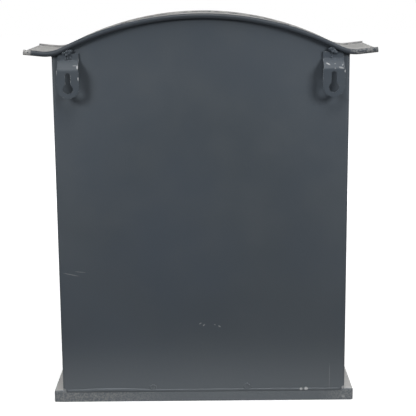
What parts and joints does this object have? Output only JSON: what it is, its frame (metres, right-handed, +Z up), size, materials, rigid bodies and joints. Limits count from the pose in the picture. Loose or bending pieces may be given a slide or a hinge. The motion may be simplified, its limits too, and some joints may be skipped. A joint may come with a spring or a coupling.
{
  "type": "wall mounted mailbox",
  "caption": "Sheet steel wall mailbox with an arched wired roof, plinth, letter flap, lockable hinged door and welded keyhole straps behind.",
  "frame": {"origin": "midway between the round entries of the two keyholes, on the faces of the straps that rest against the wall", "axes": "+Z up, +Y into the wall the mailbox hangs on, the door and letter flap face -Y, +X to the right seen from the front"},
  "size_m": [0.27, 0.095, 0.31],
  "materials": {
    "dark_paint": "satin dark blue-grey paint, faintly mottled, worn on edges",
    "antique_paint": "matt grey-white distressed paint with dark specks, dark grey paint showing at rubbed edges",
    "bare_steel": "plain drawn steel wire, slightly dulled",
    "zinc_steel": "zinc plated steel",
    "lock_chrome": "polished die-cast lock body, lightly worn"
  },
  "bodies": {
    "root": {"body_shell": "dark_paint", "base_plinth": "antique_paint", "roof_sheet": "antique_paint", "roof_wire_back": "bare_steel", "roof_wire_front": "bare_steel", "front_header": "antique_paint", "front_sill": "antique_paint", "hanger_left": "dark_paint", "hanger_right": "dark_paint", "hanger_welds": "dark_paint", "roof_tacks": "dark_paint", "floor_spot_welds": "dark_paint", "flap_bracket_left": "antique_paint", "flap_bracket_right": "antique_paint", "flap_rod": "bare_steel", "hinge_leaf_frame_lower": "antique_paint", "hinge_leaf_frame_upper": "antique_paint", "hinge_pin_lower": "bare_steel", "hinge_pin_upper": "bare_steel", "hinge_rivets_frame": "antique_paint"},
    "letter_flap": {"letter_flap": "antique_paint"},
    "door": {"door_panel": "antique_paint", "hinge_leaf_door_lower": "antique_paint", "hinge_leaf_door_upper": "antique_paint", "hinge_rivets_door": "antique_paint", "lock_housing": "lock_chrome", "lock_nut": "zinc_steel"},
    "lock": {"lock_plug": "lock_chrome", "lock_cam": "zinc_steel", "cam_washer": "zinc_steel", "cam_screw": "zinc_steel"}
  },
  "joints": [
    {"name": "letter_flap_hinge", "type": "hinge", "parent": "root", "child": "letter_flap", "pos_m": [0, -0.0904, 0.009], "axis": [-1, 0, 0], "range_deg": [0, 105]},
    {"name": "door_hinge", "type": "hinge", "parent": "root", "child": "door", "pos_m": [-0.101, -0.0896, -0.14], "axis": [0, 0, -1], "range_deg": [0, 150]},
    {"name": "lock_turn", "type": "hinge", "parent": "door", "child": "lock", "pos_m": [0.0875, -0.087, -0.14], "axis": [0, 1, 0], "range_deg": [0, 90]}
  ]
}
